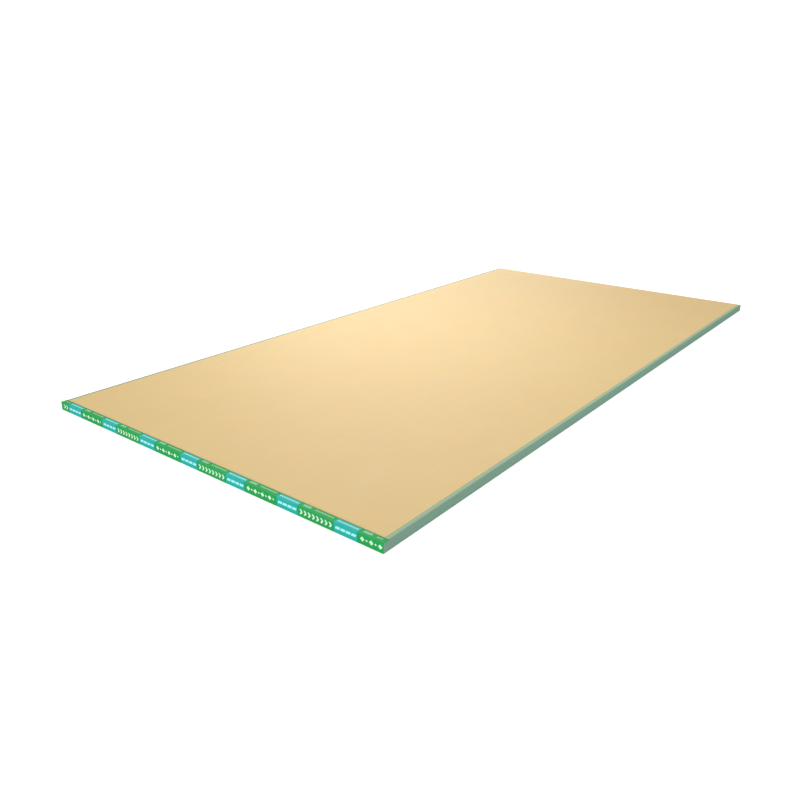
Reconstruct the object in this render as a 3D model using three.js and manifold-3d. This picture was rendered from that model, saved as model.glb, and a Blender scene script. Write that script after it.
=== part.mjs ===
// Moisture-resistant drywall sheet, lying flat with its back face up.
//
// Units are millimetres and +Z is up. The sheet runs along Y, its width is along X,
// and the origin is at the middle of the rectangle it stands on. The taped end is at -Y.
//
//   gypsum_core  the cast slab, with a shallow rebate along each long edge of its back
//   face_paper   the paper under the slab, turned up round both long edges and lapped
//                into the rebates
//   back_paper   the paper on the back, lying over the slab and over most of each lap
//   end_tape     the paper tape folded round one short end, pressed in flush with the
//                back paper and with the face paper

import * as THREE from 'three';
import { mergeVertices } from 'three/addons/utils/BufferGeometryUtils.js';
import Module from 'manifold-3d';

const wasm = await Module();
wasm.setup();

// ---- driving dimensions ----------------------------------------------------------------

const WIDTH = 1200;          // over both long edges
const LENGTH = 2400;         // over the tape at one end and the bare cut at the other
const THICKNESS = 25;        // over both papers
const PAPER = 0.5;           // thickness of the face paper and of the back paper
const FOLD_R = 1.5;          // outer radius of the face paper's four long folds
const FOLD_STEPS = 4;        // straight steps in each fold
const LAP = 30;              // how far the face paper reaches onto the back
const LAP_SHOWN = 12;        // the part of that lap the back paper leaves bare
const TAPE = 0.2;            // thickness of the end tape
const TAPE_LAP = 18;         // how far the tape reaches onto the back and onto the face
const TAPE_RAMP = 0.8;       // length over which the tape climbs onto the back paper's edge

// ---- levels and stations that follow from them -----------------------------------------

const Z_LAP = THICKNESS - PAPER;           // top of the laps, where the back paper lies
const X_EDGE = WIDTH / 2;
const X_BACK = X_EDGE - LAP_SHOWN;         // long edge of the back paper
const X_FOLD = X_EDGE - FOLD_R;            // where the flat ends and the fold begins
const Y_END = -LENGTH / 2;                 // outside of the tape
const Y_CUT = Y_END + TAPE;                // cut end of the board, under the tape
const Y_BARE = LENGTH / 2;                 // the other cut end
const Y_LAP = Y_END + TAPE + TAPE_LAP;     // where the tape's laps end

// ---- helpers ---------------------------------------------------------------------------

// A quarter of a circle about (x, z) from angle a0 to a1, in degrees, both ends included.
function fold(x, z, radius, a0, a1) {
  const points = [];
  for (let i = 0; i <= FOLD_STEPS; i++) {
    const a = THREE.MathUtils.degToRad(a0 + ((a1 - a0) * i) / FOLD_STEPS);
    points.push([x + radius * Math.cos(a), z + radius * Math.sin(a)]);
  }
  return points;
}

// The left-hand half of a section from its right-hand half, in walking order.
const mirrored = (points) => points.map(([x, z]) => [-x, z]).reverse();

// A section in the XZ plane, drawn anticlockwise, drawn out along Y between the cut ends.
function drawnAlongY(section) {
  const shape = new THREE.Shape(section.map(([x, z]) => new THREE.Vector2(x, z)));
  const geometry = new THREE.ExtrudeGeometry(shape, { depth: Y_BARE - Y_CUT, bevelEnabled: false });
  geometry.rotateX(Math.PI / 2);
  geometry.translate(0, Y_BARE, 0);
  return geometry;
}

function boxBetween([x0, y0, z0], [x1, y1, z1]) {
  const geometry = new THREE.BoxGeometry(x1 - x0, y1 - y0, z1 - z0);
  geometry.translate((x0 + x1) / 2, (y0 + y1) / 2, (z0 + z1) / 2);
  return geometry;
}

function solid(geometry) {
  const bare = geometry.clone();
  bare.deleteAttribute('normal');
  bare.deleteAttribute('uv');
  const merged = mergeVertices(bare, 1e-4);
  return new wasm.Manifold(new wasm.Mesh({
    numProp: 3,
    vertProperties: new Float32Array(merged.attributes.position.array),
    triVerts: new Uint32Array(merged.index.array),
  }));
}

// geometry less the tool's space.
function cut(geometry, tool) {
  const result = solid(geometry).subtract(solid(tool)).getMesh();
  const out = new THREE.BufferGeometry();
  out.setAttribute('position', new THREE.BufferAttribute(new Float32Array(result.vertProperties), 3));
  out.setIndex(new THREE.BufferAttribute(new Uint32Array(result.triVerts), 1));
  const flat = out.toNonIndexed();
  flat.computeVertexNormals();
  return flat;
}

function piece(name, geometry, color, roughness) {
  const material = new THREE.MeshStandardMaterial({ color, roughness, metalness: 0 });
  material.name = name;
  const mesh = new THREE.Mesh(geometry, material);
  mesh.name = name;
  return mesh;
}

// ---- the folds, inside (core) and outside (face paper) -----------------------------------

const coreLow = fold(X_FOLD, FOLD_R, FOLD_R - PAPER, -90, 0);
const coreHigh = fold(X_FOLD, Z_LAP - FOLD_R, FOLD_R - PAPER, 0, 90);
const skinLow = fold(X_FOLD, FOLD_R, FOLD_R, -90, 0);
const skinHigh = fold(X_FOLD, Z_LAP - FOLD_R, FOLD_R, 0, 90);

// ---- gypsum core -------------------------------------------------------------------------

const coreRight = [
  ...coreLow,
  ...coreHigh,
  [X_EDGE - LAP, Z_LAP - PAPER],           // floor of the rebate that takes the lap
  [X_EDGE - LAP, Z_LAP],                   // back of the slab between the laps
];
const core = drawnAlongY([...coreRight, ...mirrored(coreRight)]);

// ---- face paper --------------------------------------------------------------------------

// Out along the underside, up round each long edge, in along the lap, and back inside.
const skinOuter = [...skinLow, ...skinHigh, [X_EDGE - LAP, Z_LAP]];
const skinInner = [[X_EDGE - LAP, Z_LAP - PAPER], ...[...coreHigh].reverse(), ...[...coreLow].reverse()];
const skin = drawnAlongY([...skinOuter, ...skinInner, ...mirrored(skinInner), ...mirrored(skinOuter)]);
const facePaper = cut(skin, boxBetween([-X_FOLD, Y_CUT - 5, -5], [X_FOLD, Y_LAP, TAPE]));

// ---- back paper --------------------------------------------------------------------------

const backRight = [[X_BACK, Z_LAP], [X_BACK, THICKNESS]];
const backPaper = cut(
  drawnAlongY([...backRight, ...mirrored(backRight)]),
  boxBetween([-X_BACK - 5, Y_CUT - 5, THICKNESS - TAPE], [X_BACK + 5, Y_LAP, THICKNESS + 5]),
);

// ---- end tape ----------------------------------------------------------------------------

// A channel in the YZ plane, open towards +Y: back lap, end face, and lap beneath.
function tapeGeometry() {
  const shape = new THREE.Shape([
    [Y_END, 0],
    [Y_LAP, 0],
    [Y_LAP, TAPE],
    [Y_CUT, TAPE],
    [Y_CUT, THICKNESS - TAPE],
    [Y_LAP, THICKNESS - TAPE],
    [Y_LAP, THICKNESS],
    [Y_END, THICKNESS],
  ].map(([y, z]) => new THREE.Vector2(y, z)));

  // Stations across the width. The outer ones come down onto the bare laps.
  const down = PAPER - TAPE;
  const stations = [
    [-X_FOLD, down], [-X_BACK - TAPE_RAMP, down], [-X_BACK, 0],
    [X_BACK, 0], [X_BACK + TAPE_RAMP, down], [X_FOLD, down],
  ];

  const steps = stations.length - 1;
  const geometry = new THREE.ExtrudeGeometry(shape, { depth: steps, steps, bevelEnabled: false });
  const at = geometry.attributes.position;
  for (let i = 0; i < at.count; i++) {
    const y = at.getX(i);
    const z = at.getY(i);
    const [x, drop] = stations[Math.round(at.getZ(i))];
    at.setXYZ(i, x, y, z > THICKNESS / 2 ? z - drop : z);
  }
  geometry.computeVertexNormals();
  return geometry;
}

// ---- the sheet ---------------------------------------------------------------------------

const sheet = new THREE.Group();
sheet.name = 'drywall_sheet';
sheet.add(piece('gypsum_core', core, 0xe9e6de, 0.95));
sheet.add(piece('face_paper', facePaper, 0x84a694, 0.85));
sheet.add(piece('back_paper', backPaper, 0xe0c090, 0.8));
sheet.add(piece('end_tape', tapeGeometry(), 0x2fae62, 0.45));

export default sheet;
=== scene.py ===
"""Moisture-resistant drywall sheet, lying flat with its tan back paper up.

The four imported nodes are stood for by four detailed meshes, each in the place of its node:
the gypsum core with a sawn end, the face paper folded round both long edges, the back paper,
and the printed tape round one short end. Lengths below are in millimetres until a mesh is
made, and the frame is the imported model's: width along X, length along Y, +Z up.
"""

import math

import bpy
import numpy as np
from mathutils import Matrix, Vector


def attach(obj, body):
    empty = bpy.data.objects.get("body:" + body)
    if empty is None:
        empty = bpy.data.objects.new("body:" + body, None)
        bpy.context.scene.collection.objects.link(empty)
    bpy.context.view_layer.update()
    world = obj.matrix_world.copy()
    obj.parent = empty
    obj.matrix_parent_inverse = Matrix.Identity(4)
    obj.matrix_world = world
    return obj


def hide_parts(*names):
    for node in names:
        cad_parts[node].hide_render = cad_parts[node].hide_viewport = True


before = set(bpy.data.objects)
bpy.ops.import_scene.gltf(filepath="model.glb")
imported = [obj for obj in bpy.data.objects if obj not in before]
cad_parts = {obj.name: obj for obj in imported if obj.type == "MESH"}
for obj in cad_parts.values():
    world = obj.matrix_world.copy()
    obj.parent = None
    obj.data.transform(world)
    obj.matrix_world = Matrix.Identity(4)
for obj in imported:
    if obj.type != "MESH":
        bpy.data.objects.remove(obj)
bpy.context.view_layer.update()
scene = bpy.context.scene

# ================================================================ dimensions, as in the frame

X_EDGE = 600.0          # half the width
X_FOLD = 598.5          # where the flats end and the long folds begin
X_BACK = 588.0          # long edge of the back paper
X_REBATE = 570.0        # inner edge of the face paper's laps
FOLD_R = 1.5            # outer radius of the long folds
PAPER = 0.5
Z_TOP = 25.0
Z_LAP = 24.5
TAPE = 0.2
Y_END = -1200.0         # outside of the tape
Y_CUT = -1199.8         # cut end of the board under the tape
Y_LAP = -1181.8         # inner edge of the tape
Y_BARE = 1200.0         # the bare cut end
TAPE_FOLD = 0.62        # outer radius of the tape's folds
TAPE_SIDE = 1.40        # how far the tape reaches round the shoulder, past X_FOLD

# ================================================================ helpers: meshes


def waves(seed, count, shortest, longest, stretch=(1.0, 1.0)):
    """A smooth random field of (x, y), from about -1 to 1, that is the same on every run."""
    rng = np.random.default_rng(seed)
    length = shortest * (longest / shortest) ** rng.random(count)
    turn = rng.random(count) * 2 * math.pi
    phase = rng.random(count) * 2 * math.pi
    kx = 2 * math.pi * np.cos(turn) / (length * stretch[0])
    ky = 2 * math.pi * np.sin(turn) / (length * stretch[1])
    size = (length / longest) ** 0.5
    size = size / math.sqrt((size**2).sum() / 2) / 2.2

    def field(x, y):
        x, y = np.broadcast_arrays(np.asarray(x, float), np.asarray(y, float))
        total = np.zeros(x.shape)
        for a, b, p, s in zip(kx, ky, phase, size):
            total += s * np.sin(a * x + b * y + p)
        return np.clip(total, -1, 1)

    return field


class Builder:
    """Gathers grids and single faces into one mesh."""

    def __init__(self):
        self.points = []
        self.count = 0
        self.faces = []
        self.smooth = []

    def add(self, points):
        points = np.asarray(points, float).reshape(-1, 3)
        first = self.count
        self.points.append(points)
        self.count += len(points)
        return np.arange(first, self.count)

    def grid(self, points, flip=False, smooth=True):
        """points[i, j]: a sheet of quads; returns the vertex numbers and the face numbers."""
        rows, cols = points.shape[:2]
        index = self.add(points).reshape(rows, cols)
        return index, self.quads(index, flip, smooth)

    def quads(self, index, flip=False, smooth=True):
        a, b = index[:-1, :-1], index[1:, :-1]
        c, d = index[1:, 1:], index[:-1, 1:]
        loop = (a, d, c, b) if flip else (a, b, c, d)
        made = np.stack(loop, -1).reshape(-1, 4)
        first = len(self.faces)
        self.faces.extend(made.tolist())
        self.smooth.extend([smooth] * len(made))
        return np.arange(first, first + len(made)).reshape(index.shape[0] - 1, -1)

    def face(self, loop, smooth=False):
        self.faces.append([int(v) for v in loop])
        self.smooth.append(smooth)
        return len(self.faces) - 1

    def mesh(self, name):
        me = bpy.data.meshes.new(name)
        me.from_pydata((np.concatenate(self.points) / 1000.0).tolist(), [], self.faces)
        me.polygons.foreach_set("use_smooth", self.smooth)
        me.validate()
        me.update()
        return me


def corners(me):
    """For each face corner of a mesh: its face, and its place in millimetres."""
    starts, vert = np.zeros(len(me.polygons), int), np.zeros(len(me.loops), int)
    me.polygons.foreach_get("loop_start", starts)
    me.loops.foreach_get("vertex_index", vert)
    at = np.zeros(len(me.vertices) * 3)
    me.vertices.foreach_get("co", at)
    owner = np.searchsorted(starts, np.arange(len(me.loops)), side="right") - 1
    return owner, at.reshape(-1, 3)[vert] * 1000.0


def give_map(me, u, v):
    """A flat map of the whole surface for baking, which no material reads."""
    layer = me.uv_layers.new(name="OFBake")
    layer.data.foreach_set("uv", np.stack([u, v], 1).ravel())


def place(name, me, node, material):
    ob = bpy.data.objects.new(name, me)
    scene.collection.objects.link(ob)
    ob.data.materials.append(material)
    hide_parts(node)
    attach(ob, "root")
    return ob


def arc(x, z, radius, a0, a1, steps):
    """Points and outward normals on a quarter round, both ends included."""
    out = []
    for i in range(steps + 1):
        a = math.radians(a0 + (a1 - a0) * i / steps)
        out.append((x + radius * math.cos(a), z + radius * math.sin(a), math.cos(a), math.sin(a)))
    return out


def smoothstep(lo, hi, x):
    t = np.clip((np.asarray(x, float) - lo) / (hi - lo), 0, 1)
    return t * t * (3 - 2 * t)


# ================================================================ helpers: node materials


class Val:
    """A number in a node tree, with arithmetic that adds math nodes."""

    def __init__(self, tree, socket):
        self.tree, self.socket = tree, socket

    def op(self, name, *others):
        return calc(self.tree, name, self, *others)

    def __add__(self, o):
        return self.op("ADD", o)

    __radd__ = __add__

    def __sub__(self, o):
        return self.op("SUBTRACT", o)

    def __rsub__(self, o):
        return calc(self.tree, "SUBTRACT", o, self)

    def __mul__(self, o):
        return self.op("MULTIPLY", o)

    __rmul__ = __mul__

    def __truediv__(self, o):
        return self.op("DIVIDE", o)

    def __gt__(self, o):
        return self.op("GREATER_THAN", o)

    def __lt__(self, o):
        return self.op("LESS_THAN", o)

    def abs(self):
        return self.op("ABSOLUTE")

    def floor(self):
        return self.op("FLOOR")

    def mod(self, o):
        return self.op("FLOORED_MODULO", o)

    def max(self, o):
        return self.op("MAXIMUM", o)

    def min(self, o):
        return self.op("MINIMUM", o)

    def ramp(self, lo, hi, to=(0.0, 1.0), smooth=False):
        n = self.tree.nodes.new("ShaderNodeMapRange")
        n.interpolation_type = "SMOOTHSTEP" if smooth else "LINEAR"
        n.clamp = True
        join(self.tree, self, n.inputs["Value"])
        n.inputs["From Min"].default_value, n.inputs["From Max"].default_value = lo, hi
        n.inputs["To Min"].default_value, n.inputs["To Max"].default_value = to
        return Val(self.tree, n.outputs["Result"])


def join(tree, value, socket):
    if isinstance(value, Val):
        tree.links.new(value.socket, socket)
    else:
        socket.default_value = value


def calc(tree, name, *values):
    n = tree.nodes.new("ShaderNodeMath")
    n.operation = name
    for v, s in zip(values, n.inputs):
        join(tree, v, s)
    return Val(tree, n.outputs[0])


def both(*marks):
    """1 where every mark is 1."""
    out = marks[0]
    for m in marks[1:]:
        out = out * m
    return out


def between(v, lo, hi):
    return both(v > lo, v < hi)


def any_of(*marks):
    out = marks[0]
    for m in marks[1:]:
        out = out.max(m)
    return out


class Material:
    """A Principled material whose colour, roughness and bump are put together in code."""

    def __init__(self, name, roughness=0.5, specular=0.5):
        self.data = bpy.data.materials.new(name)
        self.data.use_nodes = True
        self.tree = self.data.node_tree
        self.shader = self.tree.nodes["Principled BSDF"]
        self.shader.inputs["Roughness"].default_value = roughness
        self.shader.inputs["Specular IOR Level"].default_value = specular
        self.where = self.tree.nodes.new("ShaderNodeTexCoord").outputs["Object"]
        self.normal = None

    def scaled(self, scale, turn=0.0, shift=(0.0, 0.0, 0.0), source=None):
        n = self.tree.nodes.new("ShaderNodeMapping")
        n.inputs["Scale"].default_value = scale
        n.inputs["Rotation"].default_value = (0.0, 0.0, math.radians(turn))
        n.inputs["Location"].default_value = shift
        self.tree.links.new(source or self.where, n.inputs["Vector"])
        return n.outputs["Vector"]

    def turned(self, turn, scale, shift=(0.0, 0.0, 0.0)):
        """Coordinates turned about Z first and then stretched."""
        return self.scaled(scale, 0.0, shift, self.scaled((1.0, 1.0, 1.0), turn))

    def noise(self, scale=1.0, detail=3.0, rough=0.5, vector=None, distortion=0.0):
        n = self.tree.nodes.new("ShaderNodeTexNoise")
        n.inputs["Scale"].default_value = scale
        n.inputs["Detail"].default_value = detail
        n.inputs["Roughness"].default_value = rough
        n.inputs["Distortion"].default_value = distortion
        self.tree.links.new(vector or self.where, n.inputs["Vector"])
        return Val(self.tree, n.outputs["Fac"])

    def cells(self, scale, vector=None, randomness=1.0, feature="F1"):
        """Distance to the nearest scattered point, and a random number for that point."""
        n = self.tree.nodes.new("ShaderNodeTexVoronoi")
        n.feature = feature
        n.inputs["Scale"].default_value = scale
        n.inputs["Randomness"].default_value = randomness
        self.tree.links.new(vector or self.where, n.inputs["Vector"])
        s = self.tree.nodes.new("ShaderNodeSeparateColor")
        self.tree.links.new(n.outputs["Color"], s.inputs[0])
        return Val(self.tree, n.outputs["Distance"]), Val(self.tree, s.outputs[0]), Val(self.tree, s.outputs[1])

    def parts(self, vector):
        n = self.tree.nodes.new("ShaderNodeSeparateXYZ")
        self.tree.links.new(vector, n.inputs[0])
        return [Val(self.tree, n.outputs[i]) for i in range(3)]

    def mix(self, a, b, factor):
        """A colour between a and b, either of which is a colour or the result of a mix."""
        n = self.tree.nodes.new("ShaderNodeMix")
        n.data_type = "RGBA"
        n.clamp_factor = True
        join(self.tree, factor, n.inputs["Factor"])
        for value, socket in ((a, n.inputs["A"]), (b, n.inputs["B"])):
            if isinstance(value, (tuple, list)):
                socket.default_value = (*value, 1.0)
            else:
                self.tree.links.new(value, socket)
        return n.outputs["Result"]

    def shade(self, colour, factor):
        """colour times a number, by way of a vector scale."""
        n = self.tree.nodes.new("ShaderNodeVectorMath")
        n.operation = "SCALE"
        if isinstance(colour, (tuple, list)):
            n.inputs[0].default_value = colour
        else:
            self.tree.links.new(colour, n.inputs[0])
        join(self.tree, factor, n.inputs["Scale"])
        return n.outputs["Vector"]

    def colour(self, colour):
        self.tree.links.new(colour, self.shader.inputs["Base Color"])

    def roughness(self, value):
        join(self.tree, value, self.shader.inputs["Roughness"])

    def bump(self, height, distance, strength=1.0):
        """height from 0 to 1, times distance in metres, on top of any bump before it."""
        n = self.tree.nodes.new("ShaderNodeBump")
        n.inputs["Strength"].default_value = strength
        n.inputs["Distance"].default_value = distance
        self.tree.links.new(height.socket, n.inputs["Height"])
        if self.normal is not None:
            self.tree.links.new(self.normal, n.inputs["Normal"])
        self.normal = n.outputs["Normal"]
        self.tree.links.new(self.normal, self.shader.inputs["Normal"])


# ================================================================ materials

TAN = (0.619, 0.437, 0.1805)
BOARD_GREEN = (0.221, 0.385, 0.291)


def paper_fibres(m, amount, turns=((8, 0.0), (-14, 3.7), (31, 8.1)), along=260.0, across=2300.0):
    """A factor round 1 for fine fibres lying mostly along the sheet."""
    total = None
    for turn, shift in turns:
        n = m.noise(1.0, 1.0, 0.5, m.turned(turn, (across, along, across), (shift, -shift, shift)))
        f = n.ramp(0.56, 0.74)
        total = f if total is None else total + f
    return 1.0 - total * amount


def tan_paper():
    m = Material("tan_liner_paper", 0.65, 0.5)
    clouds = m.noise(75.0, 4.0, 0.62)
    patches = m.noise(9.0, 3.0, 0.55)
    streaks = m.noise(1.0, 4.0, 0.6, m.scaled((42.0, 1.1, 1.0)))
    fine_streaks = m.noise(1.0, 2.0, 0.5, m.scaled((260.0, 7.0, 1.0), shift=(3.0, 1.0, 0.0)))
    value = (
        1.0
        + (clouds - 0.5) * 0.075
        + (patches - 0.5) * 0.050
        + (streaks - 0.5) * 0.042
        + (fine_streaks - 0.5) * 0.034
    )
    value = value * paper_fibres(m, 0.035)
    warm = m.noise(16.0, 2.0, 0.5, m.scaled((1.0, 0.35, 1.0), shift=(4.0, 2.0, 0.0)))
    base = m.mix((TAN[0] * 1.006, TAN[1] * 0.985, TAN[2] * 0.955), (TAN[0] * 0.994, TAN[1] * 1.015, TAN[2] * 1.045), warm.ramp(0.3, 0.7))
    base = m.shade(base, value)
    # shives: sparse brown flecks of unbleached fibre, from 0.5 to 2 mm, and a few larger ones
    near, pick, size = m.cells(34.0)
    flecks = near.op("LESS_THAN", size * 0.030 + 0.012) * (pick > 0.62)
    base = m.mix(base, (0.30, 0.165, 0.070), flecks * 0.55)
    near, pick, size = m.cells(6.5, m.scaled((1.0, 0.55, 1.0), 20.0, (2.3, 5.1, 0.0)))
    spots = near.ramp(0.008, 0.016, (1.0, 0.0), True) * (pick > 0.72)
    base = m.mix(base, (0.26, 0.15, 0.075), spots * 0.60)
    m.colour(base)
    m.roughness(0.65 + (clouds - 0.5) * 0.10 + (streaks - 0.5) * 0.05)
    m.bump(m.noise(950.0, 3.0, 0.6), 0.00006, 0.5)
    m.bump(m.noise(1.0, 2.0, 0.5, m.turned(6, (1500.0, 180.0, 1500.0))), 0.00004, 0.5)
    m.bump(m.noise(110.0, 3.0, 0.5), 0.00010, 0.35)
    return m


def green_paper():
    m = Material("moisture_board_paper", 0.75, 0.25)
    clouds = m.noise(80.0, 4.0, 0.6)
    streaks = m.noise(1.0, 3.0, 0.6, m.scaled((60.0, 1.3, 60.0)))
    value = 1.0 + (clouds - 0.5) * 0.10 + (streaks - 0.5) * 0.07
    value = value * paper_fibres(m, 0.05)
    base = m.shade(BOARD_GREEN, value)
    # pale fibres that took no dye
    pale = m.noise(1.0, 1.0, 0.5, m.turned(-22, (2100.0, 330.0, 2100.0), (5.0, 1.0, 2.0))).ramp(0.66, 0.78)
    base = m.mix(base, (0.50, 0.60, 0.52), pale * 0.35)
    # the lower folds: dye rubbed a little paler along the bend
    x, y, z = m.parts(m.where)
    low = (z - 0.00045).abs().ramp(0.0, 0.0009, (1.0, 0.0), True)
    # this noise gives the rubbed wear on the lower bends and the ragged edge of the painted fold shade on the right
    # lap
    wear_and_shade_noise = m.noise(1.0, 4.0, 0.7, m.scaled((400.0, 60.0, 400.0))).ramp(0.42, 0.68)
    bends = (low * (x.abs() > 0.5975)) * wear_and_shade_noise
    base = m.mix(base, (0.42, 0.52, 0.45), bends * 0.45)
    # the laps on the back: the right one is painted paler than the sides, as painted light on its upward face; the
    # left one is painted darker and greyer up over its fold, as painted shade along the left-hand edge; and the right
    # one is painted darker towards its fold, as painted shade at the fold
    on_back = both(z > 0.0232, x.abs() > 0.5865)
    base = m.mix(base, (0.280, 0.415, 0.284), both(on_back, x > 0.0) * 0.9)
    base = m.mix(base, (0.272, 0.347, 0.246), both(z.ramp(0.0230, 0.0247, (0.0, 1.0), True), x < -0.5865) * 0.9)
    # painted shade: the right lap darkens towards its fold, with a slightly wandering edge
    fold_shade = (x + (wear_and_shade_noise - 0.5) * 0.0006).ramp(0.5940, 0.5996, (1.0, 0.73))
    base = m.shade(base, 1.0 + (fold_shade - 1.0) * on_back)
    near, pick, size = m.cells(30.0)
    base = m.mix(base, (0.10, 0.14, 0.11), (near.op("LESS_THAN", size * 0.022 + 0.010) * (pick > 0.60)) * 0.5)
    m.colour(base)
    m.roughness(0.75 + (clouds - 0.5) * 0.12)
    m.bump(m.noise(900.0, 3.0, 0.6), 0.00006, 0.5)
    m.bump(m.noise(120.0, 3.0, 0.5), 0.00010, 0.35)
    return m


def gypsum():
    m = Material("gypsum_core_sawn", 0.9, 0.3)
    mottle = m.noise(120.0, 5.0, 0.65)
    broad = m.noise(14.0, 3.0, 0.5)
    base = m.mix((0.70, 0.685, 0.635), (0.86, 0.85, 0.81), mottle.ramp(0.25, 0.75))
    base = m.shade(base, 1.0 + (broad - 0.5) * 0.10)
    # pores of the foamed core, in two sizes
    ragged = (m.noise(1500.0, 3.0, 0.6) - 0.5) * 0.34
    near, pick, size = m.cells(620.0)
    small = (near + ragged - size * 0.22).ramp(0.10, 0.24, (1.0, 0.0), True) * (pick > 0.45)
    near2, pick2, size2 = m.cells(260.0, m.scaled((1.0, 1.0, 1.0), 0.0, (0.4, 0.3, 0.2)))
    large = (near2 + ragged * 0.5 - size2 * 0.18).ramp(0.07, 0.17, (1.0, 0.0), True) * (pick2 > 0.70)
    pores = small.max(large)
    # painted shade: the pores are darkened, as shade in their hollows
    base = m.mix(base, (0.50, 0.48, 0.44), pores * 0.60)
    # glass and paper fibres that the saw left
    strand = m.noise(1.0, 0.0, 0.5, m.turned(35, (300.0, 300.0, 3600.0), (3.0, 1.0, 7.0))).ramp(0.70, 0.76)
    base = m.mix(base, (0.90, 0.89, 0.86), strand * 0.6)
    m.colour(base)
    m.roughness(0.92 - pores * 0.05)
    m.bump(m.noise(1400.0, 4.0, 0.7), 0.00012, 0.6)
    m.bump(1.0 - pores, 0.00035, 0.8)
    return m


def printed_tape():
    """Coated paper tape: teal panels on green, with plain geometric marks in white."""
    m = Material("printed_end_tape", 0.55, 0.10)
    n = m.tree.nodes.new("ShaderNodeUVMap")
    n.uv_map = "print"
    u, v, _ = m.parts(n.outputs["UV"])
    u, v = u * 1000.0, v * 1000.0        # millimetres along and across the tape
    pitch, panel = 171.0, 66.0
    middle, lap = 29.5, 18.0
    along = u + 731.0
    w = along.mod(pitch)                  # from the start of the panel
    odd = (along / pitch).floor().mod(2.0)
    dv = v - middle

    teal = w < panel
    run = w - panel                       # 0 to 105 in each green run
    grain = m.noise(1.0, 3.0, 0.6, m.scaled((160.0, 160.0, 160.0)))
    ink = 1.0 + (grain - 0.5) * 0.10
    base = m.mix((0.018, 0.352, 0.080), (0.021, 0.424, 0.377), teal)
    # a darker rule along each edge of the tape, which along the back lap's inner edge is painted shade at the tape's
    # edge, and a dark hairline at each end of a panel
    base = m.mix(base, (0.012, 0.205, 0.062), any_of(v < 2.2, v > 58.8))
    base = m.mix(base, (0.012, 0.215, 0.075), any_of(between(w, panel - 0.6, panel + 1.0), w > pitch - 1.0) * 0.85)

    # on the end face, in the green runs: chevrons, or diamonds and dots, in turn
    clear = between(u, -588.0, 590.0)     # no mark is cut by the ends of the tape
    a = (run - 5.0).mod(12.2)
    chevron = both(
        dv.abs() < 6.0,
        between(a - (6.0 - dv.abs()) * 0.72, 0.3, 5.3),
        between(run, 5.0, 102.0),
        odd < 0.5,
        clear,
    )
    b = (run - 6.0).mod(23.5)
    diamond = both(((b - 6.3).abs() / 5.9 + dv.abs() / 5.9) < 1.0)
    dots = both(((b - 17.9) * (b - 17.9) + dv * dv) < 5.3, clear)
    gems = both(any_of(diamond, dots), between(run, 6.0, 100.0), odd > 0.5)
    # on the end face, on the panels: a row of slanted bars
    slant = w + dv * 0.45 - 4.6
    bars = both(dv.abs() < 3.3, slant.mod(14.8) < 12.4, between(slant, -0.1, 57.0))
    # on the back lap: a broken line on the panels, one pale patch and a comb in the runs
    line = both((v - 9.2).abs() < 2.2, w.mod(3.3) < 2.1, between(w, 3.2, 61.6))
    patch = both(between(v, 3.4, 11.2), between(run, 8.0, 31.0))
    comb = both((v - 7.4).abs() < 2.4, run.mod(3.6) < 1.9, between(run, 43.0, 95.6), clear)
    # on the lap beneath: a dotted line
    d = u.mod(7.0) - 3.5
    under = (d * d + (v - 54.0) * (v - 54.0)) < 2.2

    base = m.mix(base, (0.36, 0.72, 0.52), patch * 0.55)
    base = m.mix(base, (0.66, 0.90, 0.70), any_of(chevron, gems, comb * 0.50, under))
    base = m.mix(base, (0.46, 0.93, 0.93), any_of(bars * 0.86, line * 0.80))
    # painted shade: the back lap, which faces up, is made 7% darker than the end face and the lap beneath
    base = m.shade(base, ink * (v > lap).ramp(0.0, 1.0, (0.93, 1.0)))
    # ink cracked a little where the tape is folded
    crack = m.noise(1.0, 4.0, 0.75, m.scaled((900.0, 250.0, 250.0))).ramp(0.60, 0.70)
    creases = any_of(
        (v - 18.0).abs().ramp(0.25, 0.75, (1.0, 0.0)), (v - 43.0).abs().ramp(0.25, 0.75, (1.0, 0.0))
    )
    base = m.mix(base, (0.72, 0.80, 0.70), (creases * crack) * 0.55)
    # the cut edges and the glued side are bare paper
    base = m.mix(base, (0.70, 0.64, 0.52), v < 0.0)
    m.colour(base)
    m.roughness(0.55 + (grain - 0.5) * 0.12 + (v < 0.0) * 0.30)
    m.bump(m.noise(700.0, 3.0, 0.55), 0.00004, 0.4)
    m.bump(m.noise(1.0, 2.0, 0.5, m.scaled((70.0, 140.0, 140.0))), 0.00012, 0.4)
    return m


MATS = {
    "tan": tan_paper(),
    "green": green_paper(),
    "gypsum": gypsum(),
    "tape": printed_tape(),
}

# ================================================================ the gypsum core


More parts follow.
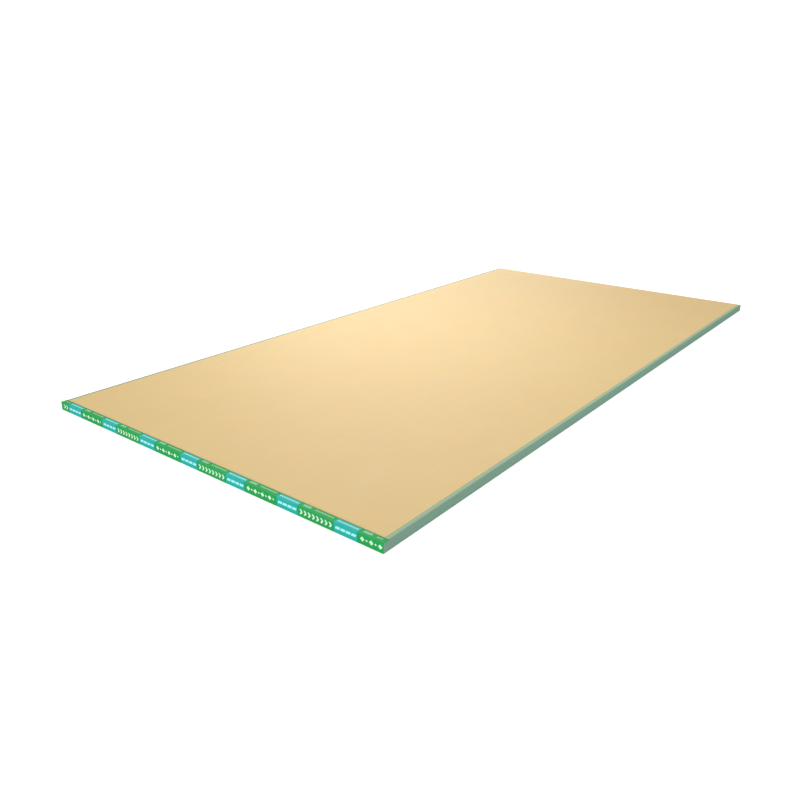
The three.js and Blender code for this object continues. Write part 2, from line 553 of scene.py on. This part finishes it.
def gypsum_core():
    """The slab. Its bare end is a fine grid with saw marks, chips and open pores."""
    step = 0.85
    half = X_EDGE - PAPER
    xs = np.linspace(-half, half, int(round(2 * half / step)) + 1)
    extra = np.array([-X_REBATE - 0.02, -X_REBATE + 0.02, X_REBATE - 0.02, X_REBATE + 0.02])
    xs = np.unique(np.concatenate([xs[(np.abs(np.abs(xs) - X_REBATE) > 0.1)], extra]))
    reach = np.clip(np.abs(xs) - X_FOLD, 0, FOLD_R - PAPER)
    drop = (FOLD_R - PAPER) - np.sqrt((FOLD_R - PAPER) ** 2 - reach**2)
    low = PAPER + drop
    high = np.where(np.abs(xs) > X_REBATE, Z_LAP - PAPER - drop, Z_LAP)
    rows = 29
    t = np.linspace(0, 1, rows)
    X = np.repeat(xs[:, None], rows, 1)
    Z = low[:, None] + (high - low)[:, None] * t[None]
    # the sawn face: a slight wave, fine saw lines, grain, and pores that go in and never out
    wave = waves(11, 14, 60, 500)
    grain = waves(12, 60, 1.8, 9)
    saw = np.sin((X * 0.94 + Z * 0.34) * 2 * math.pi / 3.1 + 1.3 * wave(X * 3, Z * 3))
    depth = 0.10 + 0.06 * wave(X, Z) + 0.025 * saw + 0.07 * (grain(X, Z) + 0.4)
    rng = np.random.default_rng(77)
    count = 900
    px = rng.uniform(-half, half, count)
    pz = rng.uniform(1.5, 24.0, count)
    pr = 0.55 + 1.15 * rng.random(count) ** 3
    for cx, cz, r in zip(px, pz, pr):
        i0, i1 = np.searchsorted(xs, [cx - 2 * r, cx + 2 * r])
        d = np.hypot(X[i0:i1] - cx, (Z[i0:i1] - cz) * 1.15) / r
        depth[i0:i1] = np.maximum(depth[i0:i1], 0.1 + 0.75 * r * np.sqrt(np.clip(1 - (d / 1.15) ** 2, 0, 1)))
    # crumbled edges under the papers
    edge = np.minimum(Z - low[:, None], high[:, None] - Z)
    crumble = waves(13, 40, 2.5, 22)
    depth += 0.30 * smoothstep(1.1, 0.0, edge) * np.clip(crumble(X, Z * 0) + 0.15, 0, 1)
    depth = np.clip(depth, 0.0, 1.4)
    b = Builder()
    end, end_faces = b.grid(np.stack([X, Y_BARE - depth, Z], -1), flip=False)
    # the other end, under the tape: the same outline, flat
    near = b.add(np.stack([X, np.full_like(X, Y_CUT), Z], -1)[:, [0, -1]]).reshape(len(xs), 2)
    first = b.add(np.stack([X, np.full_like(X, Y_CUT), Z], -1)[0, 1:-1])
    last = b.add(np.stack([X, np.full_like(X, Y_CUT), Z], -1)[-1, 1:-1])
    left = np.concatenate([[near[0, 0]], first, [near[0, 1]]])
    right = np.concatenate([[near[-1, 0]], last, [near[-1, 1]]])
    low_faces = b.quads(np.stack([end[:, 0], near[:, 0]], 1), flip=False, smooth=False)
    back_faces = b.quads(np.stack([end[:, -1], near[:, 1]], 1), flip=True, smooth=False)
    left_faces = b.quads(np.stack([end[0], left], 1), flip=True, smooth=False)
    right_faces = b.quads(np.stack([end[-1], right], 1), flip=False, smooth=False)
    for i in range(len(xs) - 1):
        loop = [near[i, 0], near[i + 1, 0], near[i + 1, 1], near[i, 1]]
        if i == 0:
            loop = [near[0, 0], near[1, 0], near[1, 1], *left[::-1][:-1]]
        if i == len(xs) - 2:
            loop = [near[i, 0], *right, near[i, 1]]
        b.face(loop)
    me = b.mesh("gypsum_core_slab")
    # its map: the cut end in ten strips, one over the other, and the hidden faces above them
    owner, at = corners(me)
    kind = np.full(len(me.polygons), 5)
    for k, faces in enumerate((end_faces, low_faces, back_faces, left_faces, right_faces)):
        kind[np.asarray(faces).ravel()] = k
    kind = kind[owner]
    strips = 10
    cuts = np.searchsorted(xs, np.linspace(-half, half, strips + 1)[1:-1])
    marks = xs[np.concatenate([[0], cuts, [len(xs) - 1]])]
    middle = np.bincount(owner, at[:, 0]) / np.bincount(owner)
    strip = np.clip(np.searchsorted(marks, middle[owner]) - 1, 0, strips - 1)
    height = at[:, 2] / Z_TOP
    along = 0.003 + 0.994 * (at[:, 0] + half) / (2 * half)
    far = (at[:, 1] > 0) * 0.010
    u = np.select(
        [kind == 0, kind >= 5, kind >= 3],
        [0.003 + 0.994 * (at[:, 0] - marks[strip]) / (marks[strip + 1] - marks[strip]), along, 0.003 + 0.994 * height],
        along,
    )
    v = np.select(
        [kind == 0, kind == 1, kind == 2, kind == 3, kind == 4],
        [strip * 0.091 + 0.003 + 0.085 * height, 0.915 + far, 0.930 + far, 0.945 + far * 0.8, 0.958 + far * 0.8],
        0.972 + 0.024 * height,
    )
    give_map(me, u, v)
    return me, end_faces


# ================================================================ the face paper


def face_paper():
    """One sheet: under the slab, round both long edges, and in over the back as laps."""
    lap = [(x, Z_LAP, 0.0, 1.0) for x in (X_REBATE, 578.0, 582.0, 586.5, 587.6, 588.4, 589.4, 591.5, 594.0, 596.4)]
    high = arc(X_FOLD, Z_LAP - FOLD_R, FOLD_R, 90, 0, 12)
    side = [(X_EDGE, z, 1.0, 0.0) for z in np.linspace(Z_LAP - FOLD_R, FOLD_R, 15)[1:-1]]
    low = arc(X_FOLD, FOLD_R, FOLD_R, 0, -90, 12)
    right = lap + high + side + low
    under = [(x, 0.0, 0.0, -1.0) for x in np.linspace(X_FOLD, -X_FOLD, 25)[1:-1]]
    left = [(-x, z, -nx, nz) for x, z, nx, nz in reversed(right)]
    path = np.array(right + under + left)
    px, pz, nx, nz = path.T
    ys = np.unique(np.concatenate([
        [Y_CUT, Y_LAP - 0.03, Y_LAP + 0.03],
        np.linspace(Y_CUT, Y_LAP - 0.03, 5),
        np.linspace(Y_LAP + 0.03, Y_BARE - 1.0, 210),
        [Y_BARE],
    ]))
    P, Q = np.meshgrid(np.arange(len(px)), ys, indexing="ij")
    x, z, ax, az = px[P], pz[P], nx[P], nz[P]
    # the long sides waver slightly inwards, and more where a hand or a strap has pressed
    on_side = (np.abs(ax) > 0.5) * np.abs(ax)
    sag = waves(21, 24, 70, 700)
    inward = on_side * 0.10 * (sag(Q + 37 * np.sign(x), z * 6) * 0.5 + 0.5)
    # under the tape the paper is pressed in by the tape's thickness
    beneath = (z < FOLD_R) & (np.abs(x) <= X_FOLD + TAPE_SIDE + 0.01)
    inward += TAPE * (beneath & (Q < Y_LAP))
    # laps lie a little unevenly
    lap_wave = waves(22, 24, 25, 260)
    inward += ((z > Z_LAP - 0.01) & (np.abs(x) < 598)) * (np.abs(x) > 589) * 0.05 * (lap_wave(Q, x * 4) * 0.5 + 0.5) * (Q > Y_LAP)
    # the bare end: the cut edge of the paper is a little ragged
    rag = waves(23, 50, 1.5, 30)
    length = np.cumsum(np.concatenate([[0], np.hypot(np.diff(px), np.diff(pz))]))
    Qr = Q - (Q > Y_BARE - 0.5) * 0.22 * (rag(length[P] * 1.0, 0.0) * 0.5 + 0.5)
    outer = np.stack([x - ax * inward, Qr, z - az * inward], -1)
    inner = np.stack([x - ax * PAPER, Qr, z - az * PAPER], -1)
    b = Builder()
    o, _ = b.grid(outer, flip=True)
    i, _ = b.grid(inner, flip=False)
    b.quads(np.stack([o[0], i[0]], 0), flip=False, smooth=False)
    b.quads(np.stack([o[-1], i[-1]], 0), flip=True, smooth=False)
    b.quads(np.stack([o[:, 0], i[:, 0]], 1), flip=False, smooth=False)
    b.quads(np.stack([o[:, -1], i[:, -1]], 1), flip=True, smooth=False)
    return b.mesh("face_paper_wrap")


# ================================================================ the back paper


def back_paper():
    """The tan liner: flat to a tenth of a millimetre, with hand-trimmed long edges."""
    inner = np.linspace(-X_BACK + 0.45, X_BACK - 0.45, 108)
    ys = np.unique(np.concatenate([
        np.linspace(Y_CUT, Y_LAP - 0.03, 6),
        np.linspace(Y_LAP + 0.03, Y_BARE - 0.4, 400),
        [Y_BARE],
    ]))
    edge = waves(31, 60, 6, 260)
    cockle = waves(32, 40, 90, 600, (1.0, 1.6))
    ragged = waves(33, 50, 2, 40)
    end = (ys > Y_BARE - 0.1).astype(float)
    rise = Z_TOP - TAPE * (ys < Y_LAP)
    b = Builder()

    def row(x, z):
        """A line of points along Y at one place across, x measured to the even edge."""
        side = np.sign(x)
        trim = np.abs(x) > X_BACK - 0.46
        dx = -side * trim * 0.16 * (edge(ys, side * 300) * 0.5 + 0.5)
        y = ys - end * 0.22 * (ragged(x, 0.0) * 0.5 + 0.5)
        dip = 0.10 * (cockle(x, ys) * 0.5 + 0.5) * smoothstep(Y_BARE, Y_BARE - 60, ys)
        dip = dip * (ys > Y_LAP)
        return np.stack([x + dx, y, rise - dip - z], -1)

    # across: the foot of one edge, its rounded top, the face of the sheet, and back down
    rim = [(0.0, PAPER), (0.0, 0.22), (0.03, 0.10), (0.10, 0.03), (0.22, 0.0)]
    cols = [row(-X_BACK + a, d) for a, d in rim]
    for c, (a, d) in zip(cols, rim):
        if d == PAPER:
            c[:, 2] = Z_LAP
    cols += [row(x, 0.0) for x in inner]
    others = [row(X_BACK - a, d) for a, d in reversed(rim)]
    others[-1][:, 2] = Z_LAP
    cols += others
    top, _ = b.grid(np.stack(cols), flip=True)
    b.quads(np.stack([top[0], top[-1]], 0), flip=False, smooth=False)   # the glued side
    b.face(top[:, 0][::-1])
    b.face(top[:, -1])
    return b.mesh("back_paper_sheet")


# ================================================================ the end tape


def end_tape():
    """The printed tape: back lap, end face and lap beneath in one folded strip."""
    reach = X_FOLD + TAPE_SIDE
    us = np.unique(np.concatenate([
        np.linspace(-X_FOLD, X_FOLD, 421),
        [s * x for s in (-1, 1) for x in (587.7, 588.0, 588.3, 588.6, 588.9, 589.3, 589.8)],
        [s * (X_FOLD + TAPE_SIDE * math.sin(k / 7 * math.pi / 2)) for s in (-1, 1) for k in range(1, 8)],
    ]))
    over = np.clip(np.abs(us) - X_FOLD, 0, None)
    top = Z_TOP - (Z_TOP - Z_LAP - TAPE) * smoothstep(587.9, 589.6, np.abs(us))
    top = np.where(over > 0, Z_LAP - FOLD_R + np.sqrt((FOLD_R + TAPE) ** 2 - over**2), top)
    low = FOLD_R - np.sqrt(FOLD_R**2 - over**2)
    r = TAPE_FOLD
    # the profile from the back lap's edge, over the end, to the edge beneath: for each row,
    # (y, part of the height that is top, offset in z, normal y, normal z)
    rows = []
    for y in np.concatenate([np.linspace(Y_LAP, Y_LAP - 0.3, 2), np.linspace(Y_LAP - 1.6, Y_END + r, 10)]):
        rows.append((y, 1.0, 0.0, 0.0, 1.0))
    for k in range(1, 8):
        a = math.radians(90 + 90 * k / 7)
        rows.append((Y_END + r + r * math.cos(a), 1.0, r * math.sin(a) - r, math.cos(a), math.sin(a)))
    for s in np.linspace(0, 1, 14)[1:-1]:
        rows.append((Y_END, 1.0 - s, -r * (1 - s) + r * s, -1.0, 0.0))
    for k in range(0, 8):
        a = math.radians(180 + 90 * k / 7)
        rows.append((Y_END + r + r * math.cos(a), 0.0, r * math.sin(a) + r, math.cos(a), math.sin(a)))
    for y in np.linspace(Y_END + r, Y_LAP, 8)[1:]:
        rows.append((y, 0.0, 0.0, 0.0, -1.0))
    y0, share, dz, ny, nz = np.array(rows).T
    U = np.repeat(us[:, None], len(rows), 1)
    Z = share[None] * top[:, None] + (1 - share)[None] * low[:, None] + dz[None]
    Y = np.repeat(y0[None], len(us), 0)
    # shoulder normals lean out sideways past the fold
    lean = np.arcsin(np.clip(over / FOLD_R, 0, 1)) * np.sign(us)
    NX = np.sin(lean)[:, None] * np.abs(nz)[None]
    NY = np.repeat(ny[None], len(us), 0)
    NZ = nz[None] * np.cos(lean)[:, None]
    # distance across the tape, for the print
    step = np.hypot(np.diff(y0), np.diff(Z[len(us) // 2]))
    v = np.concatenate([[0], np.cumsum(step)])
    v = v / v[-1] * 61.0
    V = np.repeat(v[None], len(us), 0)
    # the tape lies a little unevenly: shallow puckers that only go in
    pucker = waves(41, 70, 9, 60, (1.6, 1.0))
    fine = waves(42, 50, 4, 14)
    flat = smoothstep(0.0, 2.0, V) * smoothstep(61.0, 59.0, V)
    near_fold = np.exp(-(((V - 18) / 4.0) ** 2)) + np.exp(-(((V - 43) / 4.0) ** 2))
    inward = flat * (0.045 * (pucker(U, V) * 0.5 + 0.5) + 0.02 * near_fold * (fine(U, V * 1.5) * 0.5 + 0.5))
    inward *= 1 - smoothstep(X_FOLD - 1.0, X_FOLD, np.abs(U))
    outer = np.stack([U - NX * inward, Y - NY * inward, Z - NZ * inward], -1)
    inner = np.stack([U - NX * (inward + TAPE), Y - NY * (inward + TAPE), Z - NZ * (inward + TAPE)], -1)
    b = Builder()
    o, o_faces = b.grid(outer, flip=False)
    i, i_faces = b.grid(inner, flip=True)
    rims = [
        b.quads(np.stack([o[:, 0], i[:, 0]], 1), flip=True, smooth=False),
        b.quads(np.stack([o[:, -1], i[:, -1]], 1), flip=False, smooth=False),
        b.quads(np.stack([o[0], i[0]], 0), flip=True, smooth=False),
        b.quads(np.stack([o[-1], i[-1]], 0), flip=False, smooth=False),
    ]
    me = b.mesh("end_tape_strip")
    # the print's own coordinates, in metres along and across; off the print on the glued side
    printed = me.uv_layers.new(name="print")
    uv = np.zeros((len(me.loops), 2))
    vert = np.zeros(len(me.loops), int)
    me.loops.foreach_get("vertex_index", vert)
    flat_u = np.concatenate([U.ravel(), U.ravel()])
    flat_v = np.concatenate([V.ravel(), V.ravel()])
    uv[:, 0] = flat_u[vert] / 1000.0
    uv[:, 1] = flat_v[vert] / 1000.0
    starts = np.zeros(len(me.polygons), int)
    totals = np.zeros(len(me.polygons), int)
    me.polygons.foreach_get("loop_start", starts)
    me.polygons.foreach_get("loop_total", totals)
    owner = np.repeat(np.arange(len(me.polygons)), totals)
    uv[owner >= o_faces.size, 1] = -0.005
    uv[owner >= o_faces.size + i_faces.size, 1] = 0.0004      # the cut edges take the dark edge rule's colour, which is painted shade at the back lap's edge
    printed.data.foreach_set("uv", uv.ravel())
    # its map: six lengths of 200 mm, one over the other, with the glued side and the rims above
    # each of them
    count, across = len(us), len(rows)
    layer, place_in = np.divmod(vert, count * across)
    col, line = np.divmod(place_in, across)
    first_col = np.minimum.reduceat(col, starts)
    marks = np.concatenate([[0], np.searchsorted(us, np.linspace(-600, 600, 7)[1:-1]), [count - 1]])
    length = np.clip(np.searchsorted(marks, first_col, side="right") - 1, 0, 5)[owner]
    x0, x1 = us[marks[length]], us[marks[length + 1]]
    share_v = v[line] / v[-1]
    bu = 0.006 + 0.960 * (us[col] - x0) / (x1 - x0)
    sizes = np.cumsum([o_faces.size, i_faces.size] + [np.size(r) for r in rims])
    part = np.searchsorted(sizes, owner, side="right")
    bv = np.select(
        [part == 0, part == 1, part == 2, part == 3],
        [0.003 + 0.124 * share_v, 0.132 + 0.014 * share_v, 0.150 + 0.004 * layer, 0.158 + 0.004 * layer],
        0.003 + 0.124 * share_v,
    )
    bu = np.where(part == 4, 0.975 + 0.006 * layer, np.where(part == 5, 0.988 + 0.006 * layer, bu))
    give_map(me, bu, length / 6 + bv)
    return me, (U, V, len(us), len(rows), o_faces.size)


core_mesh, core_end = gypsum_core()
core = place("gypsum_slab", core_mesh, "gypsum_core", MATS["gypsum"].data)
wrap = place("face_paper_wrap", face_paper(), "face_paper", MATS["green"].data)
liner = place("back_paper_sheet", back_paper(), "back_paper", MATS["tan"].data)
tape_mesh, tape_grid = end_tape()
tape = place("end_tape_strip", tape_mesh, "end_tape", MATS["tape"].data)

# ================================================================ camera

cam_data = bpy.data.cameras.new("camera")
cam = bpy.data.objects.new("camera", cam_data)
scene.collection.objects.link(cam)
scene.camera = cam
cam_data.sensor_width = 36.0
cam_data.lens = 34.1813
cam_data.clip_start, cam_data.clip_end = 0.05, 200.0
cam.location = (1.41769, -2.18783, 0.83628)
cam.rotation_mode = "QUATERNION"
cam.rotation_quaternion = (0.780967, 0.531354, 0.182849, 0.272617)

# ================================================================ world, floor, lamps

scene.view_settings.view_transform = "Standard"
scene.view_settings.look = "None"
scene.view_settings.exposure = 0.0
scene.view_settings.gamma = 1.0

world = bpy.data.worlds.new("studio")
scene.world = world
world.use_nodes = True
wt = world.node_tree
wt.nodes.clear()
w_out = wt.nodes.new("ShaderNodeOutputWorld")
w_light = wt.nodes.new("ShaderNodeBackground")
w_seen = wt.nodes.new("ShaderNodeBackground")
w_mix = wt.nodes.new("ShaderNodeMixShader")
w_path = wt.nodes.new("ShaderNodeLightPath")
w_light.inputs["Strength"].default_value = 0.79
w_seen.inputs["Strength"].default_value = 1.15
for bg in (w_light, w_seen):
    bg.inputs["Color"].default_value = (1, 1, 1, 1)
wt.links.new(w_path.outputs["Is Camera Ray"], w_mix.inputs[0])
wt.links.new(w_light.outputs[0], w_mix.inputs[1])
wt.links.new(w_seen.outputs[0], w_mix.inputs[2])
wt.links.new(w_mix.outputs[0], w_out.inputs[0])

LAMPS = [
    # where it hangs, its width (and height if it is a panel), what it faces, watts
    ((-0.5, -0.3, 1.1), (0.8,), (-0.5, -0.3, 0.0), 2.7),
    ((1.2, -0.5, 2.5), (2.0,), (1.2, -0.5, 0.0), 10.2),
    ((-0.2, 0.2, 1.2), (1.0,), (-0.2, 0.2, 0.0), 3.6),
    ((-1.6, 0.4, 1.0), (0.8,), (-1.6, 0.4, 0.0), 1.6),
    ((-2.5, 2.5, 1.0), (1.2,), (-0.2, 0.3, 0.0), 7.7),
    ((-2.5, 3.2, 1.6), (1.5,), (-0.2, 0.3, 0.0), 21.7),
    ((-1.6, 3.6, 1.2), (1.2,), (-0.2, 0.3, 0.0), 10.0),
    ((-2.2, 1.2, 0.9), (0.8,), (-0.2, 0.3, 0.0), 8.0),
    ((-1.8, 2.0, 0.8), (0.6,), (-0.2, 0.3, 0.0), 0.9),
    ((0.3, -3.6, 0.9), (1.6,), (0.0, -1.2, 0.0125), 11.6),
    ((0.0, -3.4, 0.35), (3.0, 0.5), (0.0, -1.2, 0.0125), 15.3),
    ((3.2, -0.4, 0.35), (3.0, 0.5), (0.6, -0.2, 0.0125), 8.1),
]
for k, (where, size, target, watts) in enumerate(LAMPS):
    data = bpy.data.lights.new("softbox_%d" % k, "AREA")
    data.shape = "DISK" if len(size) == 1 else "RECTANGLE"
    data.size = size[0]
    data.size_y = size[-1]
    data.energy = watts
    lamp = bpy.data.objects.new("softbox_%d" % k, data)
    scene.collection.objects.link(lamp)
    lamp.location = where
    lamp.rotation_mode = "QUATERNION"
    lamp.rotation_quaternion = (Vector(target) - Vector(where)).to_track_quat("-Z", "Y")
    lamp.visible_camera = False

S = 60.0
floor_mesh = bpy.data.meshes.new("floor")
floor_mesh.from_pydata([(-S, -S, -0.0002), (S, -S, -0.0002), (S, S, -0.0002), (-S, S, -0.0002)], [], [(0, 1, 2, 3)])
floor = bpy.data.objects.new("floor", floor_mesh)
scene.collection.objects.link(floor)
# near white to the eye, with less bounced back up at the sheet
fm = bpy.data.materials.new("floor")
fm.use_nodes = True
ft = fm.node_tree
ft.nodes.clear()
f_out = ft.nodes.new("ShaderNodeOutputMaterial")
f_mix = ft.nodes.new("ShaderNodeMixShader")
f_path = ft.nodes.new("ShaderNodeLightPath")
f_seen = ft.nodes.new("ShaderNodeBsdfPrincipled")
f_dim = ft.nodes.new("ShaderNodeBsdfDiffuse")
f_seen.inputs["Base Color"].default_value = (0.92, 0.92, 0.92, 1)
f_seen.inputs["Roughness"].default_value = 1.0
f_seen.inputs["Specular IOR Level"].default_value = 0.0
f_seen.inputs["Emission Color"].default_value = (1, 1, 1, 1)
f_seen.inputs["Emission Strength"].default_value = 0.45
f_dim.inputs["Color"].default_value = (0.62, 0.62, 0.62, 1)
ft.links.new(f_path.outputs["Is Camera Ray"], f_mix.inputs[0])
ft.links.new(f_dim.outputs[0], f_mix.inputs[1])
ft.links.new(f_seen.outputs[0], f_mix.inputs[2])
ft.links.new(f_mix.outputs[0], f_out.inputs[0])
floor.data.materials.append(fm)
